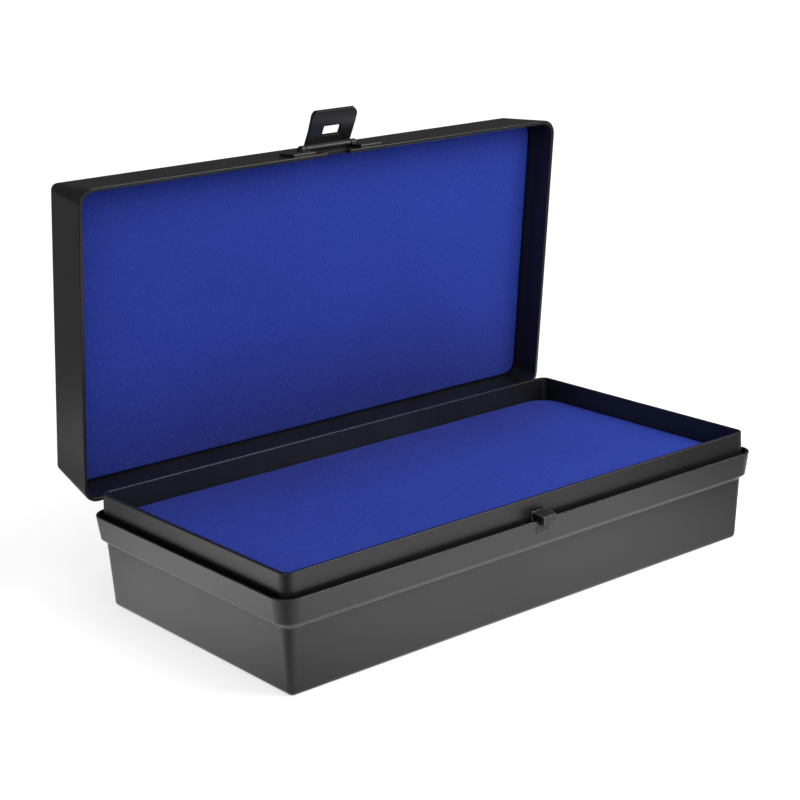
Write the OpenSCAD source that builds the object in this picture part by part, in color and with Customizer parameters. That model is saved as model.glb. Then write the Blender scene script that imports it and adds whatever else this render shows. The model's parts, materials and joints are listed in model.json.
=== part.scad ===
// Hinged plastic case for a micrometer: a moulded base and lid with foam linings,
// two pin hinges along the back and a swinging latch flap at the front.
// The lid is drawn open. X runs along the case, Y points to the hinge side and Z is up.
// The origin is the middle of the underside.

/* [Case] */
// Outside length, measured at the top of the rim band
case_l = 210; // [170:1:280]
// Outside width, measured at the top of the rim band
case_w = 109.7; // [90:0.1:160]
// Corner radius at the top of the rim band
corner_r = 6.4; // [6.4:0.1:12]
// Thickness of the floor, the side walls and the lid's top
wall = 1.6; // [1.4:0.1:1.8]
// Angle that the lid is open
lid_open = 83.9; // [60:0.1:86]

/* [Base] */
// Height of the rim band's top above the underside
base_h = 33; // [26:0.1:60]
// Height of the rim band
band_h = 8.7; // [7:0.1:11]
// Thickness of the rim band
band_t = 1; // [0.8:0.1:1.2]
// How far the band leans out from its foot to its top
band_flare = 1.15; // [0.6:0.05:1.2]
// How far the band's foot stands out from the wall below it
ledge_w = 1.95; // [1:0.05:2]
// How far the lower wall draws in on its way down
base_draft = 1.35; // [0.8:0.05:1.4]
// Rounding of the bottom edge
foot_round = 1.6; // [1:0.1:3]
// Width of the channel between the band and the lip
channel_w = 1.5; // [1.4:0.1:1.6]
// Depth of that channel
channel_d = 4; // [3:0.1:5]
// Height of the inner lip above the band
lip_h = 7.2; // [5:0.1:8]
// How far the lip leans in on its way up
lip_draft = 0.4; // [0.3:0.05:0.5]
// Thickness of the inner lip
lip_t = 1.3; // [1:0.1:1.8]

/* [Lid] */
// Height of the lid, rim to outside top
lid_h = 24.8; // [24:0.1:40]
// How far the lid's wall draws in from rim to top
lid_draft = 3.35; // [2:0.05:3.4]
// How far the lid's rim stands back from the band's face
rim_back = 0.6; // [0.5:0.1:0.8]
// Thickness of the lid's rim
rim_t = 1.35; // [1.1:0.05:1.4]
// Rounding of the lid's top edge
top_round = 2.3; // [1:0.1:3]
// Width of the notch in the rim that clears the hook
notch_w = 10; // [8:0.5:16]
// Height of that notch
notch_h = 3; // [2.6:0.1:3.4]

/* [Hinges] */
// Distance from each end of the case to the middle of its hinge
hinge_in = 43; // [24:1:60]
// How far the hinge axis lies behind the band
hinge_out = 2.3; // [2.3:0.1:4]
// How far the hinge axis lies below the band's top
hinge_drop = 1.5; // [0.6:0.1:1.6]
// Length of each base knuckle
leaf_l = 7; // [5:0.5:12]
// Length of the lid knuckle between two base knuckles
arm_l = 14; // [8:0.5:20]
// Diameter of the hinge pins
hinge_pin_d = 1.8; // [1.4:0.1:2]

/* [Latch] */
// Width of the latch flap
flap_w = 19.4; // [16:0.1:26]
// Length of the flap from its pin to its tip
flap_l = 14.4; // [13:0.1:17]
// Thickness of the flap
flap_t = 1.15; // [1:0.05:1.4]
// Height of the flap's pin above the lid's rim
latch_up = 7; // [6.8:0.1:7.4]
// How far the flap's pin stands out from the lid's wall
latch_out = 1.6; // [1.6:0.05:2.2]
// Diameter of the flap's pin
latch_pin_d = 1.2; // [1:0.1:1.3]
// Width of the window that drops over the hook
window_w = 7.7; // [6.4:0.1:9]
// Distance from the pin to the window's near edge
window_at = 4.4; // [4.2:0.1:4.8]
// Height of the window
window_h = 4; // [3.4:0.1:4.4]
// Width of the hook
hook_w = 5.6; // [4:0.1:5.8]
// How far the hook's nose stands past the flap
hook_over = 1.5; // [0.5:0.1:1.7]
// Height of the hook's nose
hook_nose = 2.6; // [1.5:0.1:2.8]
// Width of each lug that carries the flap's pin
lug_t = 2; // [1.5:0.1:4]
// Length of the low shoulder beside each lug
shoulder_l = 7.5; // [2:0.5:16]
// How far that shoulder stands out from the lid's wall
shoulder_out = 1.1; // [0.6:0.1:1.4]
// Angle that the flap stands open from its latched place
flap_open = 68.8; // [10:0.1:150]

/* [Foam] */
// Depth of the base foam's face below the lip
base_foam_down = 7.3; // [4:0.1:14]
// Corner radius of the base foam
base_foam_r = 10; // [6:0.5:16]
// Depth of the lid foam's face below the lid's rim
lid_foam_down = 10.2; // [9:0.1:14]
// Corner radius of the lid foam
lid_foam_r = 9; // [6:0.5:16]
// Thickness of the adhesive sheet under the lid foam
glue_t = 0.2; // [0.1:0.05:0.5]

/* [Hidden] */
$fn = 96;

// Clearances: under the closed lid's rim, between the lip and the closed lid, round foam, in
// a running bore, in a gripping bore, beside a turning piece and under the hook
seat_gap = 0.1;
lip_gap = 0.15;
foam_gap = 0.3;
run_gap = 0.05;
grip_gap = 0.02;
side_gap = 0.3;
hook_gap = 0.1;

// Rounding of thin edges and of inside corners
edge_r = 0.35;
inner_r = 1.2;
foam_edge = 0.8;
end_chamfer = 0.2;

black = "#2b2b2d";
steel = "#b9bcc0";
blue = "#2a3fa6";
amber = "#c9b98a";

// Outward distances from a corner's centre line to the base's faces
band_foot_d = corner_r - band_flare;
wall_top_d = band_foot_d - ledge_w;
wall_foot_d = wall_top_d - base_draft;
lip_out_d = corner_r - band_t - channel_w;
lip_top_d = lip_out_d - lip_draft;
well_top_d = lip_top_d - lip_t;
well_foot_d = wall_foot_d - wall;

// Heights on the base
ledge_z = base_h - band_h;
channel_z = base_h - channel_d;
lip_z = base_h + lip_h;
ledge_fall = ledge_w * 0.75;

// The same for the lid, whose own height starts at its rim
rim_d = corner_r - rim_back;
top_d = rim_d - lid_draft;
lid_slope = lid_draft / (lid_h - top_round);
lid_in_z = lid_h - wall;
rim_in_d = rim_d - rim_t;
socket_z = lip_h + 0.4;
socket_d = lip_top_d + lip_gap;
top_in_d = top_d - wall;
lid_in_slope = (socket_d - top_in_d) / (lid_in_z - socket_z);
rim_z = base_h + seat_gap;

// Hinge axis, and the distance between the middles of the two hinges
hinge_span = case_l - 2 * hinge_in;
hinge_y = case_w / 2 + hinge_out;
hinge_z = base_h - hinge_drop;
knuckle_r = hinge_out - 0.35;
hinge_l = 2 * leaf_l + arm_l + 2 * side_gap;
knuckle_mid = (knuckle_r + hinge_pin_d / 2) / 2;

// Latch axis, with the lid closed
latch_face = case_w / 2 - rim_back - lid_slope * latch_up;
latch_y = -latch_face - latch_out;
latch_z = rim_z + latch_up;
barrel_r = latch_out - 0.4;
lug_r = barrel_r + 0.1;
flap_out = case_w / 2 + 0.15 + latch_y;

// Points of an arc, from one angle to another
function arc(x, y, r, a0, a1, steps = 6) =
    [for (i = [0:steps]) let (a = a0 + (a1 - a0) * i / steps) [x + r * cos(a), y + r * sin(a)]];

// The base's wall and floor, as one section from a corner's centre line outwards
module base_section() {
    foot_r = min(foot_round, wall_foot_d - 0.3);
    well_r = min(inner_r, well_foot_d - 0.2);
    lip_r = min(edge_r, lip_t / 2 - 0.05);
    band_r = min(edge_r, band_t / 2 - 0.05);
    channel_in_d = corner_r - band_t - band_flare * channel_d / band_h;
    polygon(concat(
        [[0, 0]],
        arc(wall_foot_d - foot_r, foot_r, foot_r, -90, 0),
        [[wall_top_d, ledge_z - ledge_fall]],
        arc(band_foot_d - edge_r, ledge_z + edge_r, edge_r, -50, 0),
        arc(corner_r - band_r, base_h - band_r, band_r, 0, 90, 4),
        arc(corner_r - band_t + band_r, base_h - band_r, band_r, 90, 180, 4),
        [[channel_in_d, channel_z], [lip_out_d, channel_z]],
        arc(lip_top_d - lip_r, lip_z - lip_r, lip_r, 0, 90, 4),
        arc(well_top_d + lip_r, lip_z - lip_r, lip_r, 90, 180, 4),
        arc(well_foot_d - well_r, wall + well_r, well_r, 0, -90, 4),
        [[0, wall]]
    ));
}

// The lid's wall and top, with its rim at height 0
module lid_section() {
    out_r = min(top_round, top_d - 0.2);
    in_r = min(inner_r, top_in_d - 0.2);
    rim_r = min(edge_r, rim_t / 2 - 0.05);
    polygon(concat(
        [[0, lid_h]],
        arc(top_d - out_r, lid_h - out_r, out_r, 90, 0),
        arc(rim_d - rim_r, rim_r, rim_r, 0, -90, 4),
        arc(rim_in_d + rim_r, rim_r, rim_r, -90, -180, 4),
        [[socket_d, socket_z]],
        arc(top_in_d - in_r, lid_in_z - in_r, in_r, 0, 90, 4),
        [[0, lid_in_z]]
    ));
}

// Sweeps a section round a rounded rectangle and fills its middle from z0 to z1.
// The section's x is the distance outwards from the corner centres.
module swept_box(l, w, r, z0, z1) {
    for (side = [0:3]) {
        long = side % 2 == 0;
        run = (long ? l : w) - 2 * r;
        out = (long ? w : l) / 2 - r;
        rotate([0, 0, 90 * side]) {
            translate([-run / 2, out, 0]) rotate([90, 0, 90]) linear_extrude(run) children();
            translate([run / 2, out, 0]) rotate_extrude(angle = 90) children();
        }
    }
    translate([r - l / 2, r - w / 2, z0]) cube([l - 2 * r, w - 2 * r, z1 - z0]);
}

// A solid of constant section along X, from its outline in Y and Z
module along_x(x0, length) {
    translate([x0, 0, 0]) rotate([90, 0, 90]) linear_extrude(length) children();
}

module rod_x(x0, length, r) {
    translate([x0, 0, 0]) rotate([0, 90, 0]) cylinder(h = length, r = r);
}

// A plain pin with chamfered ends, centred on its axis
module pin(d, length) {
    c = end_chamfer;
    rotate([0, 90, 0]) rotate_extrude() polygon([
        [0, -length / 2], [d / 2 - c, -length / 2], [d / 2, c - length / 2],
        [d / 2, length / 2 - c], [d / 2 - c, length / 2], [0, length / 2]
    ]);
}

// Carries a closed lid, or what rides on it, to the open place
module opened_lid() {
    translate([0, hinge_y, hinge_z]) rotate([-lid_open, 0, 0])
        translate([0, -hinge_y, -hinge_z]) children();
}

// A point in Y and Z at a distance and an angle from the hinge axis
function by_hinge(r, a) = [hinge_y + r * cos(a), hinge_z + r * sin(a)];

// Start of each base knuckle along X, with the hinge's middle at 0
leaf_starts = [-hinge_l / 2, hinge_l / 2 - leaf_l];

// Barrel of one base knuckle with the gusset that joins it to the band
module base_knuckle(x0) {
    foot_z = ledge_z + edge_r;
    root = case_w / 2 - band_flare;
    translate([0, hinge_y, hinge_z]) rod_x(x0, leaf_l, knuckle_r);
    along_x(x0, leaf_l) polygon([
        [root, foot_z], by_hinge(knuckle_r, -60), by_hinge(knuckle_mid, -60),
        by_hinge(knuckle_mid, -120), by_hinge(knuckle_mid, 180), [root, hinge_z]
    ]);
}

// Hook that the flap's window drops over, with its undercut concentric with the flap's pin
module hook() {
    r = window_at + window_h - hook_gap;
    tip = latch_y - flap_out - flap_t - hook_over;
    stem = -case_w / 2 + 0.1;
    root = lip_out_d - corner_r + case_w / 2 - edge_r;
    top_z = latch_z - window_at - 0.4;
    nose_z = latch_z - sqrt(r * r - pow(tip - latch_y, 2));
    along_x(-hook_w / 2, hook_w) polygon(concat(
        [[-root, channel_z - edge_r], [stem, channel_z - edge_r]],
        [for (i = [0:8]) let (y = stem + (tip - stem) * i / 8)
            [y, latch_z - sqrt(r * r - pow(y - latch_y, 2))]],
        [[tip, nose_z + hook_nose], [stem, top_z], [-root, top_z]]
    ));
}

// Pocket in the band round the hook
module hook_pocket() {
    depth = 0.6;
    side = hook_w / 2 + 1.2;
    translate([-side, -case_w / 2 - 1, base_h - depth])
        cube([2 * side, 1 + band_t + channel_w - edge_r, depth + 1]);
}

module base_shell() {
    color(black) difference() {
        union() {
            difference() {
                swept_box(case_l, case_w, corner_r, 0, wall) base_section();
                hook_pocket();
            }
            hook();
            for (x = [-hinge_span / 2, hinge_span / 2], x0 = leaf_starts)
                base_knuckle(x + x0);
        }
        for (x = [-hinge_span / 2, hinge_span / 2], x0 = leaf_starts)
            translate([0, hinge_y, hinge_z])
                rod_x(x + x0 - 1, leaf_l + 2, hinge_pin_d / 2 + grip_gap);
    }
}

// Barrel of the lid knuckle, the arm to the lid's wall and the heel that stops the lid.
// The heel meets the band's back face when the lid is open.
module lid_knuckle(x0) {
    foot_z = rim_z + edge_r;
    arm_up = 6;
    root = case_w / 2 - rim_back - lid_slope * arm_up - edge_r;
    heel = hinge_out - seat_gap;
    translate([0, hinge_y, hinge_z]) rod_x(x0, arm_l, knuckle_r);
    along_x(x0, arm_l) polygon([
        [root, foot_z], by_hinge(knuckle_mid, 120), by_hinge(knuckle_mid, 60),
        by_hinge(knuckle_r, 60), [root, rim_z + arm_up]
    ]);
    translate([0, hinge_y, hinge_z]) rotate([lid_open, 0, 0]) along_x(x0, arm_l) polygon([
        [-heel, -knuckle_r * 0.95], [-knuckle_r * 0.3, -knuckle_r * 0.95],
        [-knuckle_mid * 0.7, -knuckle_mid * 0.7], [-heel, -knuckle_r * 0.25]
    ]);
}

// A point inside the lid's front wall, where what stands on the wall is rooted
function lug_root(z) = [rim_back + 0.7 + lid_slope * (z - rim_z) - case_w / 2, z];

// Lug that carries an end of the flap's pin, with the low shoulder beside it. The inner
// face is at 0 and the shoulder runs towards positive X.
module latch_lug() {
    foot_z = rim_z + edge_r;
    top_z = latch_z + lug_r;
    foot_y = -case_w / 2 + rim_back - shoulder_out;
    top_y = foot_y + lid_slope * (top_z - rim_z);
    translate([0, latch_y, latch_z]) rod_x(0, lug_t, lug_r);
    along_x(0, lug_t) polygon([
        [latch_y, latch_z - lug_r], lug_root(latch_z - lug_r), lug_root(top_z + latch_out),
        [latch_y + lug_r * cos(120), latch_z + lug_r * sin(120)]
    ]);
    along_x(0, lug_t + shoulder_l) polygon([
        lug_root(foot_z), [foot_y + edge_r, foot_z], [foot_y, foot_z + edge_r],
        [top_y, top_z], lug_root(top_z + shoulder_out)
    ]);
}

module closed_lid() {
    difference() {
        union() {
            translate([0, 0, rim_z])
                swept_box(case_l, case_w, corner_r, lid_in_z, lid_h) lid_section();
            for (x = [-hinge_span / 2, hinge_span / 2]) lid_knuckle(x - arm_l / 2);
            for (side = [0, 1]) mirror([side, 0, 0])
                translate([flap_w / 2 + side_gap, 0, 0]) latch_lug();
        }
        for (x = [-hinge_span / 2, hinge_span / 2])
            translate([0, hinge_y, hinge_z])
                rod_x(x - arm_l / 2 - 1, arm_l + 2, hinge_pin_d / 2 + run_gap);
        translate([0, latch_y, latch_z])
            rod_x(-flap_w, 2 * flap_w, latch_pin_d / 2 + grip_gap);
        translate([-notch_w / 2, -case_w / 2, rim_z - 1])
            cube([notch_w, corner_r - rim_in_d + rim_t, notch_h + 1]);
    }
}

module lid_shell() {
    color(black) opened_lid() closed_lid();
}

module hinge_pin(x) {
    color(steel) translate([x, hinge_y, hinge_z]) pin(hinge_pin_d, hinge_l - 2 * end_chamfer);
}

module hinge_pin_left() {
    hinge_pin(-hinge_span / 2);
}

module hinge_pin_right() {
    hinge_pin(hinge_span / 2);
}

// Side profile of the flap's plate, hanging from its pin at the origin. The inner face is
// flat to past the window, and then both faces curl outwards into the finger pull.
module plate_profile() {
    bend_at = window_at + window_h + 0.2;
    bend_a = 14;
    bend_r = (flap_l - bend_at) / sin(bend_a);
    tip_t = flap_t + 0.3;
    face = -flap_out;
    inner = arc(face - bend_r, -bend_at, bend_r, 0, -bend_a, 8);
    outer_r = bend_r - tip_t;
    outer = arc(face - bend_r, -bend_at, outer_r, -bend_a, -4, 7);
    polygon(concat(
        [[face, 0]], inner, outer,
        [[face - flap_t, 2 - bend_at], [face - flap_t, 0]]
    ));
}

// Outline of the flap seen square on, with rounded tip corners and the window
module flap_outline() {
    r = 2.6;
    difference() {
        union() {
            translate([-flap_w / 2, r - flap_l]) square([flap_w, flap_l - r + barrel_r]);
            translate([r - flap_w / 2, -flap_l]) square([flap_w - 2 * r, 2 * r]);
            for (x = [-1, 1]) translate([x * (flap_w / 2 - r), r - flap_l]) circle(r);
        }
        translate([-window_w / 2, -window_at - window_h]) square([window_w, window_h]);
    }
}

// The flap hanging from its pin, with the pin's axis along X at the origin
module hanging_flap() {
    difference() {
        union() {
            rod_x(-flap_w / 2, flap_w, barrel_r);
            intersection() {
                along_x(-flap_w / 2, flap_w) plate_profile();
                translate([0, flap_l, 0]) rotate([90, 0, 0])
                    linear_extrude(2 * flap_l) flap_outline();
            }
        }
        rod_x(-flap_w, 2 * flap_w, latch_pin_d / 2 + run_gap);
    }
}

module latch_flap() {
    color(black) opened_lid() translate([0, latch_y, latch_z])
        rotate([-flap_open, 0, 0]) hanging_flap();
}

module latch_pin() {
    color(steel) opened_lid() translate([0, latch_y, latch_z])
        pin(latch_pin_d, flap_w + 2 * (side_gap + lug_t - end_chamfer));
}

// A foam block with drafted sides. The inset is how far its face lies inside the band's
// outline, the fall is how far its sides lean, and the face is at height 0.
module foam_block(inset, r, fall, depth, back_cut) {
    l = case_l - 2 * inset;
    w = case_w - 2 * inset;
    back_r = r - fall;
    swept_box(l, w, r, -depth, 0) polygon(concat(
        [[0, -depth], [back_r - back_cut, -depth], [back_r, back_cut - depth]],
        arc(r - foam_edge, -foam_edge, foam_edge, 0, 90, 4),
        [[0, 0]]
    ));
}

module base_foam() {
    z = lip_z - base_foam_down;
    slope = (well_top_d - well_foot_d) / (lip_z - wall);
    inset = corner_r - well_foot_d - slope * (z - wall) + foam_gap;
    color(blue) translate([0, 0, z])
        foam_block(inset, base_foam_r, slope * (z - wall), z - wall, inner_r);
}

module lid_foam() {
    depth = lid_in_z - glue_t - lid_foam_down;
    inset = corner_r - socket_d + lid_in_slope * (lid_foam_down - socket_z) + foam_gap;
    color(blue) opened_lid() translate([0, 0, rim_z + lid_foam_down]) mirror([0, 0, 1])
        foam_block(inset, lid_foam_r, lid_in_slope * depth, depth, inner_r);
}

// Thin sheet that holds the foam in the lid
module lid_foam_adhesive() {
    inset = corner_r - top_in_d + lid_foam_r;
    color(amber) opened_lid()
        translate([inset - case_l / 2, inset - case_w / 2, rim_z + lid_in_z - glue_t])
            cube([case_l - 2 * inset, case_w - 2 * inset, glue_t]);
}

base_shell();
lid_shell();
hinge_pin_left();
hinge_pin_right();
latch_flap();
latch_pin();
base_foam();
lid_foam();
lid_foam_adhesive();
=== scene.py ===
import json
import math

import bpy
from mathutils import Matrix, Vector


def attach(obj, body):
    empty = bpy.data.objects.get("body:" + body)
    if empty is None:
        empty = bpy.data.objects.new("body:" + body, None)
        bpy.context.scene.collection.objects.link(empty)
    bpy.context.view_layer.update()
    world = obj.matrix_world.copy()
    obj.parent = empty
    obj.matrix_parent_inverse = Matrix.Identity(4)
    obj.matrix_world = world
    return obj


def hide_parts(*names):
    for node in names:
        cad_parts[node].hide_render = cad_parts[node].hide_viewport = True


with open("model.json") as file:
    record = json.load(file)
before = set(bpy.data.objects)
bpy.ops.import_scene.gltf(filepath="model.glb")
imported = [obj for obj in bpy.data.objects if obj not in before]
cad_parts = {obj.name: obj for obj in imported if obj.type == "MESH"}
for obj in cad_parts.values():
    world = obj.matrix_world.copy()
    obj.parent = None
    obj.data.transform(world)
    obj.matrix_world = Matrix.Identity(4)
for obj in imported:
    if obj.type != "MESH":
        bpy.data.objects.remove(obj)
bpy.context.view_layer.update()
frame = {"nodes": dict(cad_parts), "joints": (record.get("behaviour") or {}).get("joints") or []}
mm = 0.001
print("frame loaded:", len(frame["nodes"]), "nodes")


def toLinear(hexColour):
    # an sRGB hex value as the linear colour that the shaders take
    parts = [int(hexColour[i:i + 2], 16) / 255 for i in (1, 3, 5)]
    linear = [p / 12.92 if p <= 0.04045 else ((p + 0.055) / 1.055) ** 2.4 for p in parts]
    return (*linear, 1.0)


def addNode(tree, kind, inputs=None, **settings):
    # inputs go by name or index: a number or colour, a socket, or a node for its first output
    node = tree.nodes.new(kind)
    for name, value in settings.items():
        setattr(node, name, value)
    for key, value in (inputs or {}).items():
        if isinstance(value, bpy.types.Node):
            value = next(output for output in value.outputs if output.enabled)
        if isinstance(value, bpy.types.NodeSocket):
            tree.links.new(value, node.inputs[key])
        else:
            node.inputs[key].default_value = value
    return node


def newMaterial(name):
    material = bpy.data.materials.new(name)
    material.use_nodes = True
    material.node_tree.nodes.clear()
    return material, material.node_tree


# Injection-moulded polypropylene, coloured black all through, with the mould's fine
# spark-eroded grain. It looks near black and satin, greyer where it mirrors a bright table at
# a glancing angle, rubbed a little paler along its edges, with dust specks and faint rubs.
# A ramp turns a pattern's values into a mask, a share is how much of its colour a mark lays
# on, and rough is what a mark adds to the roughness. Heights start at the underside.
plasticLook = {
    "colour": "#1b1b1c", "paleColour": "#212122", "ior": 1.49,
    "tintRamp": {"From Min": 0.3, "From Max": 0.75},
    "roughRamp": {"From Min": 0.3, "From Max": 0.7, "To Min": 0.25, "To Max": 0.33},
    "smearSize": 34 * mm, "grainSize": 0.5 * mm, "grainDepth": 0.006 * mm,
    "edgeColour": "#2c2c2d", "edgeWidth": 0.35 * mm, "edgeShare": 0.6, "edgeRough": -0.05,
    "edgeRamp": {"From Min": 0.995, "From Max": 0.85, "To Max": 0.8},
    "rubWidth": 0.9 * mm, "rubTurn": (0.5, 0.3, 0.7), "rubStretch": (1.0, 0.06, 1.0),
    "rubShare": 0.3, "rubRamp": {"From Min": 0.67, "From Max": 0.76},
    "wornRamp": {"From Min": 0.5, "From Max": 0.65},
    "dustColour": "#8a8b8d", "dustSpacing": 7 * mm, "dustShare": 0.5, "dustRough": 0.3,
    "dustRamp": {"From Min": 0.75, "From Max": 1.0, "To Max": 0.05},
    # the hollows' colour is painted shade
    "hollowShadeColour": "#080809", "hollowReach": 40 * mm, "hollowShadeShare": 1.0, "hollowRough": 0.2,
    "hollowRamp": {"From Min": 0.92, "From Max": 0.75},
    # the ledge colour is a painted highlight on the slope under the rim band
    "ledgeHighlightColour": "#626263", "ledgeFrom": 22.6 * mm, "ledgeTo": 24.55 * mm, "ledgeHighlightShare": 1.0,
    # the pale colour is painted glints on the edges round the hook, and rubs along the band's
    # top edge
    "glintAndRubColour": "#c4c5c7", "glintAndRubShare": 1.0, "patchRamp": {"From Min": 0.42, "From Max": 0.58},
    "bandTop": 33 * mm, "bandEdge": 0.5 * mm, "bandWear": 0.35,
    "catch": (0.0, -54 * mm, 31 * mm), "catchRamp": {"From Min": 8 * mm, "From Max": 4 * mm},
}

# the flap is the same plastic, painted darker as shade, and slightly glossier
flapLook = {
    **plasticLook, "colour": "#111112", "paleColour": "#171718",
    "roughRamp": {"From Min": 0.3, "From Max": 0.7, "To Min": 0.22, "To Max": 0.3},
}


def mouldedPlastic(name, look, ledge=False):
    material, tree = newMaterial(name)
    place = addNode(tree, "ShaderNodeTexCoord").outputs["Object"]
    smears = addNode(tree, "ShaderNodeTexNoise", {
        "Vector": place, "Scale": 1 / look["smearSize"], "Detail": 3.0, "Roughness": 0.55})
    # grain of half a millimetre, several times coarser than the real one, so that it shows
    grain = addNode(tree, "ShaderNodeTexNoise", {
        "Vector": place, "Scale": 1 / look["grainSize"], "Detail": 2.0, "Roughness": 0.6})
    turned = addNode(tree, "ShaderNodeMapping", {
        "Vector": place, "Rotation": look["rubTurn"], "Scale": look["rubStretch"]})
    streaks = addNode(tree, "ShaderNodeTexNoise", {
        "Vector": turned, "Scale": 1 / look["rubWidth"], "Detail": 1.0, "Roughness": 0.4})
    worn = addNode(tree, "ShaderNodeMapRange", {"Value": smears, **look["wornRamp"]})
    rubs = addNode(tree, "ShaderNodeMapRange", {
        "Value": streaks, "To Max": worn, **look["rubRamp"]})
    # a speck in the middle of one dust cell in four, of a size that its colour decides
    dust = addNode(tree, "ShaderNodeTexVoronoi", {
        "Vector": place, "Scale": 1 / look["dustSpacing"]})
    chance = addNode(tree, "ShaderNodeSeparateColor", {0: dust.outputs["Color"]})
    speckSize = addNode(tree, "ShaderNodeMapRange", {"Value": chance, **look["dustRamp"]})
    specks = addNode(tree, "ShaderNodeMath", {
        0: dust, 1: speckSize}, operation="LESS_THAN")
    # an edge is where the rounded normal leans away from the flat one
    rounded = addNode(tree, "ShaderNodeBevel", {"Radius": look["edgeWidth"]}, samples=4)
    flat = addNode(tree, "ShaderNodeNewGeometry").outputs["Normal"]
    bend = addNode(tree, "ShaderNodeVectorMath", {0: rounded, 1: flat},
                   operation="DOT_PRODUCT")
    edges = addNode(tree, "ShaderNodeMapRange", {"Value": bend, **look["edgeRamp"]})
    # hollows are painted darker as shade, and the mould is left coarser inside, so they are also
    # duller than the outside
    openness = addNode(tree, "ShaderNodeAmbientOcclusion", {"Distance": look["hollowReach"]},
                       samples=6, only_local=True).outputs["AO"]
    hollowShadeAndDulling = addNode(tree, "ShaderNodeMapRange", {"Value": openness, **look["hollowRamp"]})
    tint = addNode(tree, "ShaderNodeMapRange", {"Value": smears, **look["tintRamp"]})
    # a colour Mix node takes its share at 0 and its two colours at 6 and 7
    colour = addNode(tree, "ShaderNodeMix", {
        0: tint, 6: toLinear(look["colour"]), 7: toLinear(look["paleColour"])},
        data_type="RGBA")
    marks = [
        # painted shade in the hollows
        (hollowShadeAndDulling, look["hollowShadeShare"], look["hollowShadeColour"]),
        (rubs, look["rubShare"], look["edgeColour"]),
        (edges, look["edgeShare"], look["edgeColour"]),
        (specks, look["dustShare"], look["dustColour"]),
    ]
    if ledge:
        # the slope under the rim band, where the two halves of the mould met: a pale strip is
        # painted on it all round as a highlight, and the band and the wall meet it in crisp
        # lines
        low, high = look["ledgeFrom"], look["ledgeTo"]
        up = addNode(tree, "ShaderNodeSeparateXYZ", {0: place}).outputs[2]
        ledgeHighlight = addNode(tree, "ShaderNodeMath", {
            0: up, 1: (low + high) / 2, 2: (high - low) / 2}, operation="COMPARE")
        marks.append((ledgeHighlight, look["ledgeHighlightShare"], look["ledgeHighlightColour"]))
        # the edges round the hook are painted bright as glints, and the lid's rim has rubbed the
        # band's top edge pale here and there
        far = addNode(tree, "ShaderNodeVectorMath", {0: place, 1: look["catch"]},
                      operation="DISTANCE")
        catchGlints = addNode(tree, "ShaderNodeMapRange", {"Value": far, **look["catchRamp"]})
        rimEdge = addNode(tree, "ShaderNodeMath", {
            0: up, 1: look["bandTop"], 2: look["bandEdge"]}, operation="COMPARE")
        glintAndRubZone = addNode(tree, "ShaderNodeMath", {
            0: rimEdge, 1: look["bandWear"], 2: catchGlints}, operation="MULTIPLY_ADD")
        patchy = addNode(tree, "ShaderNodeMapRange", {
            "Value": streaks, "To Max": glintAndRubZone, **look["patchRamp"]})
        glintsAndRubs = addNode(tree, "ShaderNodeMath", {0: edges, 1: patchy}, operation="MULTIPLY")
        marks.append((glintsAndRubs, look["glintAndRubShare"], look["glintAndRubColour"]))
    for mask, share, markColour in marks:
        amount = addNode(tree, "ShaderNodeMath", {0: mask, 1: share}, operation="MULTIPLY")
        colour = addNode(tree, "ShaderNodeMix", {
            0: amount, 6: colour, 7: toLinear(markColour)}, data_type="RGBA")
    rough = addNode(tree, "ShaderNodeMapRange", {"Value": smears, **look["roughRamp"]})
    for mask, change in ((edges, look["edgeRough"]), (specks, look["dustRough"]),
                         (hollowShadeAndDulling, look["hollowRough"])):
        rough = addNode(tree, "ShaderNodeMath", {0: mask, 1: change, 2: rough},
                        operation="MULTIPLY_ADD")
    bump = addNode(tree, "ShaderNodeBump", {
        "Height": grain, "Normal": rounded, "Strength": 0.6, "Distance": look["grainDepth"]})
    shader = addNode(tree, "ShaderNodeBsdfPrincipled", {
        "Base Color": colour, "Roughness": rough, "Normal": bump, "IOR": look["ior"]})
    addNode(tree, "ShaderNodeOutputMaterial", {"Surface": shader})
    return material


# Drawn steel wire, cut for pins: bright, with lines from the die along it. The lines are
# drawn coarser than real ones, so that they show.
steelLook = {
    "colour": "#b4b6b9", "darkColour": "#8d9094", "lineSpacing": 0.25 * mm,
    "lineStretch": (0.05, 1, 1), "lineDepth": 0.01 * mm,
    "roughRamp": {"From Min": 0.3, "From Max": 0.7, "To Min": 0.24, "To Max": 0.38},
}


def drawnSteel(name, look):
    material, tree = newMaterial(name)
    place = addNode(tree, "ShaderNodeTexCoord").outputs["Object"]
    stretched = addNode(tree, "ShaderNodeMapping", {
        "Vector": place, "Scale": look["lineStretch"]})
    lines = addNode(tree, "ShaderNodeTexNoise", {
        "Vector": stretched, "Scale": 1 / look["lineSpacing"], "Detail": 2.0})
    colour = addNode(tree, "ShaderNodeMix", {
        0: lines, 6: toLinear(look["darkColour"]), 7: toLinear(look["colour"])},
        data_type="RGBA")
    rough = addNode(tree, "ShaderNodeMapRange", {"Value": lines, **look["roughRamp"]})
    bump = addNode(tree, "ShaderNodeBump", {
        "Height": lines, "Strength": 0.3, "Distance": look["lineDepth"]})
    shader = addNode(tree, "ShaderNodeBsdfPrincipled", {
        "Base Color": colour, "Roughness": rough, "Normal": bump, "Metallic": 1.0})
    addNode(tree, "ShaderNodeOutputMaterial", {"Surface": shader})
    return material


# Rubber-based contact adhesive, dried to a thin uneven amber film.
adhesiveLook = {
    "colour": "#c4ae72", "thinColour": "#d8cba6", "ior": 1.52,
    "patchSize": 9 * mm, "patchDepth": 0.08 * mm,
    "roughRamp": {"From Min": 0.3, "From Max": 0.7, "To Min": 0.3, "To Max": 0.5},
}


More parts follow.
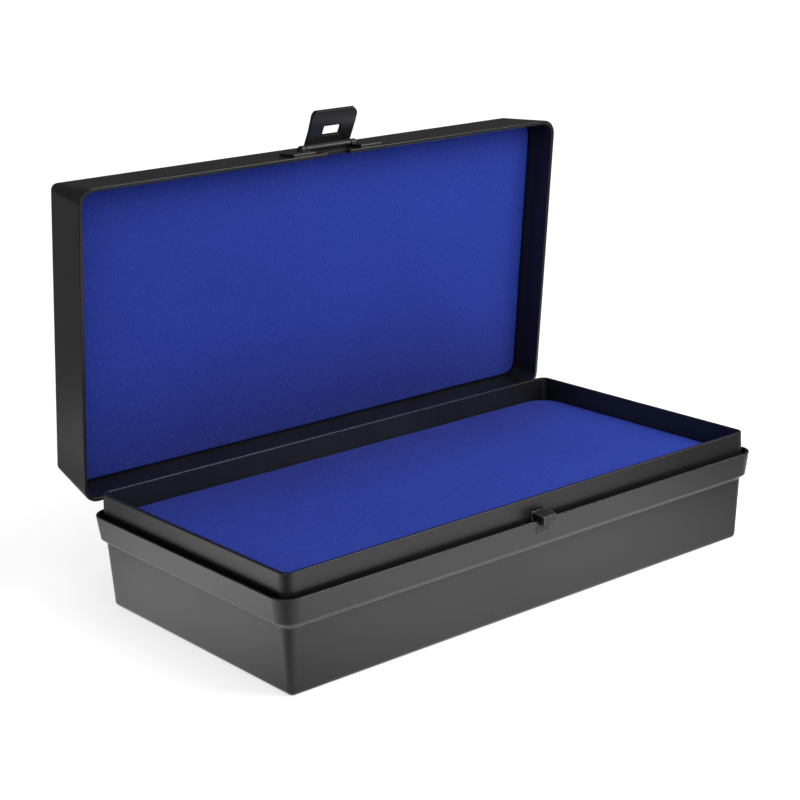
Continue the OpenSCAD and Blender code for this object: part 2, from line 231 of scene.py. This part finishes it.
def driedAdhesive(name, look):
    material, tree = newMaterial(name)
    place = addNode(tree, "ShaderNodeTexCoord").outputs["Object"]
    patches = addNode(tree, "ShaderNodeTexNoise", {
        "Vector": place, "Scale": 1 / look["patchSize"], "Detail": 4.0})
    colour = addNode(tree, "ShaderNodeMix", {
        0: patches, 6: toLinear(look["colour"]), 7: toLinear(look["thinColour"])},
        data_type="RGBA")
    rough = addNode(tree, "ShaderNodeMapRange", {"Value": patches, **look["roughRamp"]})
    bump = addNode(tree, "ShaderNodeBump", {
        "Height": patches, "Strength": 0.5, "Distance": look["patchDepth"]})
    shader = addNode(tree, "ShaderNodeBsdfPrincipled", {
        "Base Color": colour, "Roughness": rough, "Normal": bump, "IOR": look["ior"]})
    addNode(tree, "ShaderNodeOutputMaterial", {"Surface": shader})
    return material


shellPlastic = mouldedPlastic("mouldedPolypropylene", plasticLook)
basePlastic = mouldedPlastic("mouldedPolypropyleneBase", plasticLook, ledge=True)
flapPlastic = mouldedPlastic("mouldedPolypropyleneFlap", flapLook)
pinSteel = drawnSteel("drawnSteelWire", steelLook)
glueFilm = driedAdhesive("driedContactAdhesive", adhesiveLook)
finishes = {
    "base_shell": basePlastic, "lid_shell": shellPlastic, "latch_flap": flapPlastic,
    "hinge_pin_left": pinSteel, "hinge_pin_right": pinSteel, "latch_pin": pinSteel,
    "lid_foam_adhesive": glueFilm,
}
for nodeName, material in finishes.items():
    for materialSlot in frame["nodes"][nodeName].material_slots:
        materialSlot.material = material
print("finishes on the moulded, metal and glued pieces")


lidHinge = next(joint for joint in frame["joints"] if joint["name"] == "lid_hinge")
hingePoint = Vector(lidHinge["pos_m"])
openAngle = math.radians(lidHinge["range_deg"][1])     # the lid's turn from open to shut

# Royal blue polyurethane foam, cut with a knife: dead matt, with fine cells, a soft nap that
# lightens it at a glancing angle, and short pale and dark flecks where cells stand open. Near
# the hinge, most of all midway along, where the lid shades it, a deeper blue is painted as
# shade:
# the scale shortens distances along the hinge, and the ramp takes the distance from it.
foamLook = {
    "colour": "#293a93", "roughness": 0.95, "specular": 0.1,
    "sheen": 0.03, "sheenRoughness": 0.5, "sheenTint": "#8fa4e6",
    "cellSize": 0.7 * mm, "cellDepth": 0.08 * mm,
    "paleColour": "#3349ac", "cloudSize": 45 * mm,
    "cloudRamp": {"From Min": 0.3, "From Max": 0.7, "To Max": 0.15},
    "darkColour": "#22307f", "fleckWidth": 0.55 * mm, "fleckStretch": (1.0, 0.35, 1.0),
    "openRamp": {"From Min": 0.6, "From Max": 0.74, "To Max": 0.6},
    "napRamp": {"From Min": 0.42, "From Max": 0.28, "To Max": 0.5},
    # a deeper blue painted as shade near the hinge
    "creaseShadeColour": "#2a317b", "creaseShadeScale": (0.25, 1, 1),
    "creaseShadeRamp": {"From Min": 48 * mm, "From Max": 14 * mm},
}


def cutFoam(name, look, tilt):
    # tilt lays the pattern flat on a pad whose face stands at that angle
    material, tree = newMaterial(name)
    place = addNode(tree, "ShaderNodeTexCoord").outputs["Object"]
    laidFlat = addNode(tree, "ShaderNodeMapping", {
        "Vector": place, "Rotation": (tilt, 0.0, 0.0)})
    clouds = addNode(tree, "ShaderNodeTexNoise", {
        "Vector": laidFlat, "Scale": 1 / look["cloudSize"], "Detail": 2.0})
    cells = addNode(tree, "ShaderNodeTexVoronoi", {
        "Vector": laidFlat, "Scale": 1 / look["cellSize"]})
    stretched = addNode(tree, "ShaderNodeMapping", {
        "Vector": laidFlat, "Scale": look["fleckStretch"]})
    flecks = addNode(tree, "ShaderNodeTexNoise", {
        "Vector": stretched, "Scale": 1 / look["fleckWidth"], "Detail": 1.0})
    cloudShare = addNode(tree, "ShaderNodeMapRange", {"Value": clouds, **look["cloudRamp"]})
    openCells = addNode(tree, "ShaderNodeMapRange", {"Value": flecks, **look["openRamp"]})
    nap = addNode(tree, "ShaderNodeMapRange", {"Value": flecks, **look["napRamp"]})
    acrossHinge = addNode(tree, "ShaderNodeVectorMath", {0: place, 1: look["creaseShadeScale"]},
                          operation="MULTIPLY")
    fromHinge = addNode(tree, "ShaderNodeVectorMath", {0: acrossHinge, 1: hingePoint},
                        operation="DISTANCE")
    # painted shade near the hinge
    creaseShade = addNode(tree, "ShaderNodeMapRange", {"Value": fromHinge, **look["creaseShadeRamp"]})
    colour = toLinear(look["colour"])
    for share, shade in ((creaseShade, "creaseShadeColour"), (cloudShare, "paleColour"),
                         (openCells, "darkColour"), (nap, "paleColour")):
        colour = addNode(tree, "ShaderNodeMix", {
            0: share, 6: colour, 7: toLinear(look[shade])}, data_type="RGBA")
    height = addNode(tree, "ShaderNodeMath", {0: cells, 1: openCells}, operation="SUBTRACT")
    bump = addNode(tree, "ShaderNodeBump", {
        "Height": height, "Strength": 0.35, "Distance": look["cellDepth"]})
    shader = addNode(tree, "ShaderNodeBsdfPrincipled", {
        "Base Color": colour, "Normal": bump, "Roughness": look["roughness"],
        "Specular IOR Level": look["specular"], "Sheen Weight": look["sheen"],
        "Sheen Roughness": look["sheenRoughness"], "Sheen Tint": toLinear(look["sheenTint"])})
    addNode(tree, "ShaderNodeOutputMaterial", {"Surface": shader})
    return material


# What both pads share. dip is how far the face sinks at its rim, and rimPower how near the rim
# that stays. ripple is the unevenness that the knife leaves on the face, and wander how far
# the outline strays inwards. clear is the gap left to the solid that a pad stands for.
# backZone is the depth of the layer at a solid's back whose length is measured.
padShape = {
    "vertices": (136, 70, 10), "clear": 0.02 * mm, "backZone": 1.6 * mm,
    "dip": 0.25 * mm, "rimPower": 14.0, "ripple": 0.18 * mm, "rippleSize": 38 * mm,
    "wander": 0.35 * mm, "edgeRound": 0.8 * mm, "edgeSegments": 3, "edgeAngle": 55,
}


def foamTree(look):
    # a grid on a block, drawn in at its corners and towards its back. The block runs from
    # -1 to 1 along and across, and its face is at half of its height of 1.
    tree = bpy.data.node_groups.new("foamPadShape", "GeometryNodeTree")
    tree.interface.new_socket("Geometry", in_out="OUTPUT", socket_type="NodeSocketGeometry")
    for name in ("Length", "Width", "Depth", "Corner Radius", "Fall", "Dip", "Ripple",
                 "Wander", "Ripple Size", "Seed"):
        tree.interface.new_socket(name, in_out="INPUT", socket_type="NodeSocketFloat")
    tree.interface.new_socket("Material", in_out="INPUT", socket_type="NodeSocketMaterial")
    given = addNode(tree, "NodeGroupInput").outputs
    countX, countY, countZ = look["vertices"]
    block = addNode(tree, "GeometryNodeMeshCube", {
        "Size": (2, 2, 1), "Vertices X": countX, "Vertices Y": countY, "Vertices Z": countZ})
    faceHeight, justUnderFace = 0.5, 0.499
    at = addNode(tree, "GeometryNodeInputPosition")
    height = addNode(tree, "ShaderNodeSeparateXYZ", {0: at}).outputs[2]
    down = addNode(tree, "ShaderNodeMath", {0: faceHeight, 1: height}, operation="SUBTRACT")
    size = addNode(tree, "ShaderNodeCombineXYZ", {0: given["Length"], 1: given["Width"]})
    half = addNode(tree, "ShaderNodeVectorMath", {0: size, "Scale": 0.5}, operation="SCALE")
    spread = addNode(tree, "ShaderNodeVectorMath", {0: at, 1: half}, operation="MULTIPLY")
    seed = addNode(tree, "ShaderNodeCombineXYZ", {2: given["Seed"]})
    sample = addNode(tree, "ShaderNodeVectorMath", {0: spread, 1: seed}, operation="ADD")
    fineness = addNode(tree, "ShaderNodeMath", {0: 1.0, 1: given["Ripple Size"]},
                       operation="DIVIDE")
    waves = addNode(tree, "ShaderNodeTexNoise", {
        "Vector": sample, "Scale": fineness, "Detail": 2.0})

    # outline: the straight middle is held, and what is left over turns a square corner round
    leaning = addNode(tree, "ShaderNodeMath", {0: down, 1: given["Fall"]},
                      operation="MULTIPLY")
    inset = addNode(tree, "ShaderNodeMath", {0: waves, 1: given["Wander"], 2: leaning},
                    operation="MULTIPLY_ADD")
    full = addNode(tree, "ShaderNodeVectorMath", {0: half, 1: inset}, operation="SUBTRACT")
    core = addNode(tree, "ShaderNodeVectorMath", {0: half, 1: given["Corner Radius"]},
                   operation="SUBTRACT")
    core = addNode(tree, "ShaderNodeVectorMath", {0: core, 1: (1, 1, 0)},
                   operation="MULTIPLY")
    other = addNode(tree, "ShaderNodeVectorMath", {0: core, "Scale": -1.0},
                    operation="SCALE")
    level = addNode(tree, "ShaderNodeVectorMath", {0: at, 1: (1, 1, 0)},
                    operation="MULTIPLY")
    out = addNode(tree, "ShaderNodeVectorMath", {0: level, 1: full}, operation="MULTIPLY")
    held = addNode(tree, "ShaderNodeVectorMath", {0: out, 1: core}, operation="MINIMUM")
    held = addNode(tree, "ShaderNodeVectorMath", {0: held, 1: other}, operation="MAXIMUM")
    left = addNode(tree, "ShaderNodeVectorMath", {0: out, 1: held}, operation="SUBTRACT")
    leastReach = 1e-7      # in metres: the reach divides, so it is never zero
    reach = addNode(tree, "ShaderNodeVectorMath", {0: left}, operation="LENGTH")
    reach = addNode(tree, "ShaderNodeMath", {0: reach, 1: leastReach}, operation="MAXIMUM")
    sides = addNode(tree, "ShaderNodeVectorMath", {0: left}, operation="ABSOLUTE")
    sides = addNode(tree, "ShaderNodeSeparateXYZ", {0: sides}).outputs
    longest = addNode(tree, "ShaderNodeMath", {0: sides[0], 1: sides[1]},
                      operation="MAXIMUM")
    turn = addNode(tree, "ShaderNodeMath", {0: longest, 1: reach}, operation="DIVIDE")
    placed = addNode(tree, "ShaderNodeVectorMath", {0: left, 1: turn, 2: held},
                     operation="MULTIPLY_ADD")

    # face: it sinks a little towards its rim and ripples where the knife went
    unit = addNode(tree, "ShaderNodeVectorMath", {0: level}, operation="ABSOLUTE")
    unit = addNode(tree, "ShaderNodeSeparateXYZ", {0: unit}).outputs
    rim = addNode(tree, "ShaderNodeMath", {0: unit[0], 1: unit[1]}, operation="MAXIMUM")
    rim = addNode(tree, "ShaderNodeMath", {0: rim, 1: look["rimPower"]}, operation="POWER")
    dip = addNode(tree, "ShaderNodeMath", {0: rim, 1: given["Dip"]}, operation="MULTIPLY")
    sink = addNode(tree, "ShaderNodeMath", {0: waves, 1: given["Ripple"], 2: dip},
                   operation="MULTIPLY_ADD")
    onFace = addNode(tree, "ShaderNodeMath", {0: height, 1: justUnderFace},
                     operation="GREATER_THAN")
    sink = addNode(tree, "ShaderNodeMath", {0: sink, 1: onFace}, operation="MULTIPLY")
    below = addNode(tree, "ShaderNodeMath", {0: down, 1: given["Depth"], 2: sink},
                    operation="MULTIPLY_ADD")
    drop = addNode(tree, "ShaderNodeCombineXYZ", {2: below})
    placed = addNode(tree, "ShaderNodeVectorMath", {0: placed, 1: drop},
                     operation="SUBTRACT")
    moved = addNode(tree, "GeometryNodeSetPosition", {
        "Geometry": block.outputs["Mesh"], "Position": placed})
    real = addNode(tree, "GeometryNodeRealizeInstances", {0: moved})
    finished = addNode(tree, "GeometryNodeSetMaterial", {
        "Geometry": real, "Material": given["Material"]})
    addNode(tree, "NodeGroupOutput", {0: finished})
    return tree


padTree = foamTree(padShape)

# Each pad stands for the solid of its nodeName. layFlat is the turn about the lid's hinge that
# lays it level, faceUp says which way its face then looks, and the seed sets its ripples.
pads = {
    "baseFoamPad": {"nodeName": "base_foam", "body": "base", "finish": "cutPolyurethaneFoam",
                    "layFlat": 0.0, "faceUp": True, "cornerRadius": 10 * mm, "seed": 0.3},
    "lidFoamPad": {"nodeName": "lid_foam", "body": "lid", "finish": "cutPolyurethaneFoamLid",
                   "layFlat": openAngle, "faceUp": False, "cornerRadius": 5 * mm, "seed": 1.7},
}


def foamPad(name, nodeName, body, finish, layFlat, faceUp, cornerRadius, seed):
    turn = (Matrix.Translation(hingePoint) @ Matrix.Rotation(layFlat, 4, "X")
            @ Matrix.Translation(-hingePoint))
    points = [turn @ vertex.co for vertex in frame["nodes"][nodeName].data.vertices]
    low = Vector(min(p[i] for p in points) for i in range(3))
    high = Vector(max(p[i] for p in points) for i in range(3))
    backZ = low.z if faceUp else high.z
    backX = max(p.x for p in points if abs(p.z - backZ) < padShape["backZone"])
    clear = padShape["clear"]
    values = {"Length": high.x - low.x - 2 * clear, "Width": high.y - low.y - 2 * clear,
              "Depth": high.z - low.z - 2 * clear, "Corner Radius": cornerRadius,
              "Fall": high.x - backX, "Dip": padShape["dip"], "Ripple": padShape["ripple"],
              "Wander": padShape["wander"], "Ripple Size": padShape["rippleSize"],
              "Seed": seed, "Material": cutFoam(finish, foamLook, layFlat)}
    source = bpy.data.objects.new(name + "Source", bpy.data.meshes.new(name + "Source"))
    bpy.context.scene.collection.objects.link(source)
    shape = source.modifiers.new("shape", "NODES")
    shape.node_group = padTree
    for item in padTree.interface.items_tree:
        if item.in_out == "INPUT":
            shape[item.identifier] = values[item.name]
    rounding = source.modifiers.new("rounding", "BEVEL")
    rounding.width = padShape["edgeRound"]
    rounding.segments = padShape["edgeSegments"]
    rounding.limit_method = "ANGLE"
    rounding.angle_limit = math.radians(padShape["edgeAngle"])
    rounding.miter_outer = "MITER_SHARP"
    depsgraph = bpy.context.evaluated_depsgraph_get()
    mesh = bpy.data.meshes.new_from_object(source.evaluated_get(depsgraph))
    bpy.data.objects.remove(source)
    middle = Vector(((low.x + high.x) / 2, (low.y + high.y) / 2, 0))
    if faceUp:
        stand = Matrix.Translation(middle + Vector((0, 0, high.z - clear)))
    else:
        stand = (Matrix.Translation(middle + Vector((0, 0, low.z + clear)))
                 @ Matrix.Rotation(math.pi, 4, "X"))
    mesh.transform(turn.inverted() @ stand)
    mesh.name = name
    mesh.polygons.foreach_set("use_smooth", [True] * len(mesh.polygons))
    pad = bpy.data.objects.new(name, mesh)
    bpy.context.scene.collection.objects.link(pad)
    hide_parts(nodeName)
    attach(pad, body)
    print(name + ":", len(mesh.polygons), "faces")


for name, settings in pads.items():
    foamPad(name, **settings)


# The camera sees the floor glow by floorGlow, and by poolDim at a pool's middle, with glowReach
# between them. Mirrored rays see poolFar, and bright pools of poolBright beside the case, which
# fade between the two distances of poolEdge. A pool whose middle is below the floor is dimmer.
# roomLight falls on matt surfaces, and roomMirrored is what mirrored rays see of the room.
studio = {
    "floorColour": "#ededed", "floorRadius": 8.0, "floorSides": 96,
    "fibresPerMetre": 900.0, "fibreDepth": 0.02 * mm,
    "floorGlow": 0.72, "poolDim": 0.55, "glowReach": 0.8,
    "pools": ((-0.175, 0.035, -0.035), (-0.02, -0.125, 0.0), (0.03, -0.125, 0.0),
              (-0.19, 0.25, -0.12), (0.175, 0.035, 0.0), (0.06, 0.26, 0.0)),
    "poolEdge": (0.035, 0.16), "poolBright": 1.6, "poolFar": 0.15,
    "roomLight": 0.4, "roomMirrored": 0.07,
}


def studioFloor(look):
    bpy.ops.mesh.primitive_circle_add(vertices=look["floorSides"], radius=look["floorRadius"],
                                      fill_type="NGON")
    floor = bpy.context.object
    floor.name = "paleFloor"
    material, tree = newMaterial("paleCard")
    place = addNode(tree, "ShaderNodeTexCoord").outputs["Object"]
    rays = addNode(tree, "ShaderNodeLightPath").outputs
    fibres = addNode(tree, "ShaderNodeTexNoise", {
        "Vector": place, "Scale": look["fibresPerMetre"], "Detail": 2.0})
    bump = addNode(tree, "ShaderNodeBump", {
        "Height": fibres, "Strength": 0.1, "Distance": look["fibreDepth"]})
    card = addNode(tree, "ShaderNodeBsdfDiffuse", {
        "Color": toLinear(look["floorColour"]), "Normal": bump})
    away = look["floorRadius"]
    for centre in look["pools"]:
        reach = addNode(tree, "ShaderNodeVectorMath", {0: place, 1: centre},
                        operation="DISTANCE")
        away = addNode(tree, "ShaderNodeMath", {0: away, 1: reach}, operation="MINIMUM")
    near, far = look["poolEdge"]
    pool = addNode(tree, "ShaderNodeMapRange", {
        "Value": away, "From Min": near, "From Max": far,
        "To Min": look["poolBright"], "To Max": look["poolFar"]},
        interpolation_type="SMOOTHSTEP")
    glow = addNode(tree, "ShaderNodeMapRange", {
        "Value": away, "From Min": 0.0, "From Max": look["glowReach"],
        "To Min": look["poolDim"], "To Max": look["floorGlow"]},
        interpolation_type="SMOOTHSTEP")
    seen = addNode(tree, "ShaderNodeMath", {0: rays["Is Camera Ray"], 1: glow},
                   operation="MULTIPLY")
    mirrored = addNode(tree, "ShaderNodeMath", {
        0: rays["Is Glossy Ray"], 1: rays["Is Transmission Ray"]}, operation="MAXIMUM")
    lit = addNode(tree, "ShaderNodeEmission", {"Strength": seen})
    both = addNode(tree, "ShaderNodeAddShader", {0: card, 1: lit})
    shine = addNode(tree, "ShaderNodeEmission", {"Strength": pool})
    surface = addNode(tree, "ShaderNodeMixShader", {0: mirrored, 1: both, 2: shine})
    addNode(tree, "ShaderNodeOutputMaterial", {"Surface": surface})
    floor.data.materials.append(material)


def studioWorld(look):
    # the camera sees a white room behind the floor
    world = bpy.data.worlds.new("softRoom")
    bpy.context.scene.world = world
    world.use_nodes = True
    tree = world.node_tree
    tree.nodes.clear()
    rays = addNode(tree, "ShaderNodeLightPath").outputs
    mirrored = addNode(tree, "ShaderNodeMath", {
        0: rays["Is Glossy Ray"], 1: rays["Is Transmission Ray"]}, operation="MAXIMUM")
    strength = addNode(tree, "ShaderNodeMapRange", {
        "Value": mirrored, "To Min": look["roomLight"], "To Max": look["roomMirrored"]})
    strength = addNode(tree, "ShaderNodeMapRange", {
        "Value": rays["Is Camera Ray"], "To Min": strength, "To Max": 1.0})
    back = addNode(tree, "ShaderNodeBackground", {"Color": (1, 1, 1, 1),
                                                  "Strength": strength})
    addNode(tree, "ShaderNodeOutputWorld", {"Surface": back})


# Soft boxes, in metres and watts. All look at the middle of the case.
softBoxes = {
    "keySoftBox": {"place": (0.2, -0.26, 0.35), "width": 0.36, "height": 0.36, "power": 1.75},
    "fillSoftBox": {"place": (-1.1, -0.7, 0.7), "width": 0.9, "height": 0.9, "power": 5.0},
    "topSoftBox": {"place": (0.1, -0.4, 1.4), "width": 1.2, "height": 1.0, "power": 2.0},
}
middleOfCase = Vector((0.0, 0.0, 0.05))


def softBox(name, place, width, height, power):
    lamp = bpy.data.lights.new(name, "AREA")
    lamp.shape, lamp.size, lamp.size_y, lamp.energy = "RECTANGLE", width, height, power
    holder = bpy.data.objects.new(name, lamp)
    bpy.context.scene.collection.objects.link(holder)
    holder.location = place
    aim = middleOfCase - Vector(place)
    holder.rotation_euler = aim.to_track_quat("-Z", "Y").to_euler()


studioFloor(studio)
studioWorld(studio)
for name, settings in softBoxes.items():
    softBox(name, **settings)
print("floor, room and soft boxes set")

# Place and turn of the camera, found from the case's own outline. Angles in radians, lens and
# sensor in millimetres, distances in metres.
view = {
    "place": (-0.40592, -0.47919, 0.24359), "yaw": -0.68521, "pitch": -0.28115,
    "roll": -0.02751, "lens": 86.077, "sensor": 36.0, "nearest": 0.01, "farthest": 50.0,
}


def photoCamera(look):
    yaw, pitch, roll = look["yaw"], look["pitch"], look["roll"]
    ahead = Vector((-math.sin(yaw) * math.cos(pitch), math.cos(yaw) * math.cos(pitch),
                    math.sin(pitch)))
    level = Vector((math.cos(yaw), math.sin(yaw), 0))
    upright = level.cross(ahead)
    right = level * math.cos(roll) + upright * math.sin(roll)
    up = upright * math.cos(roll) - level * math.sin(roll)
    data = bpy.data.cameras.new("photoCamera")
    data.sensor_width, data.lens = look["sensor"], look["lens"]
    data.clip_start, data.clip_end = look["nearest"], look["farthest"]
    camera = bpy.data.objects.new("photoCamera", data)
    bpy.context.scene.collection.objects.link(camera)
    turn = Matrix((right, up, -ahead)).transposed().to_4x4()
    camera.matrix_world = Matrix.Translation(Vector(look["place"])) @ turn
    bpy.context.scene.camera = camera


photoCamera(view)
bpy.context.scene.view_settings.view_transform = "Standard"
print("camera set")
